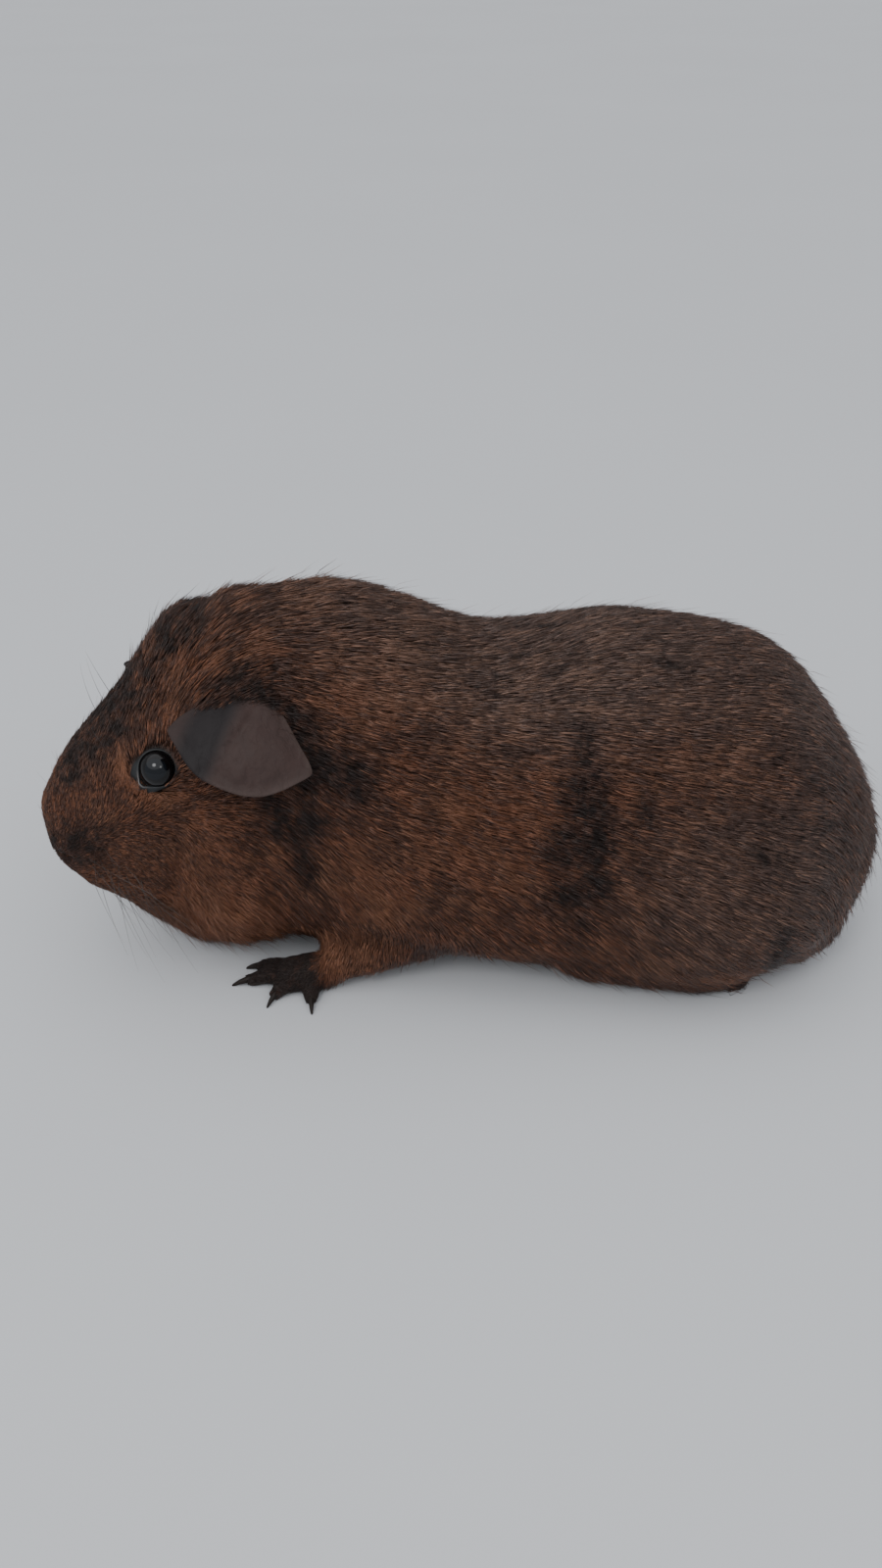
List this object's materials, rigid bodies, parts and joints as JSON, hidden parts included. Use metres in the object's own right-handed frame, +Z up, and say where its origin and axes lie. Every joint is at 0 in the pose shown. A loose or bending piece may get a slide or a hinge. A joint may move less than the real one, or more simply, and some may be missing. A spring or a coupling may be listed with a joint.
{
  "type": "guinea pig",
  "caption": "Life-size still model of a short-haired guinea pig, crouched with its head turned a little to its left.",
  "frame": {"origin": "middle of the bounding box on the floor between the feet", "axes": "-X towards the nose, +X towards the rump, +Y to the animal's right side, +Z up"},
  "size_m": [0.2334, 0.1016, 0.1092],
  "materials": {
    "coat": "short dense fur, black-brown ticked with rust orange",
    "foot_skin": "dark skin under very short hair",
    "ear_skin": "bare matte grey-brown skin",
    "eye": "wet gloss",
    "claw_horn": "dark horn with a dull sheen"
  },
  "bodies": {
    "root": {"head": "coat", "neck": "coat", "trunk": "coat", "foreleg_left": "coat", "foreleg_right": "coat", "hindleg_left": "coat", "hindleg_right": "coat", "forefoot_left": "foot_skin", "forefoot_right": "foot_skin", "hindfoot_left": "foot_skin", "hindfoot_right": "foot_skin", "ear_left": "ear_skin", "ear_right": "ear_skin", "eye_left": "eye", "eye_right": "eye", "fore_claw_left_1": "claw_horn", "fore_claw_left_2": "claw_horn", "fore_claw_left_3": "claw_horn", "fore_claw_left_4": "claw_horn", "fore_claw_right_1": "claw_horn", "fore_claw_right_2": "claw_horn", "fore_claw_right_3": "claw_horn", "fore_claw_right_4": "claw_horn", "hind_claw_left_1": "claw_horn", "hind_claw_left_2": "claw_horn", "hind_claw_left_3": "claw_horn", "hind_claw_right_1": "claw_horn", "hind_claw_right_2": "claw_horn", "hind_claw_right_3": "claw_horn"}
  },
  "joints": []
}
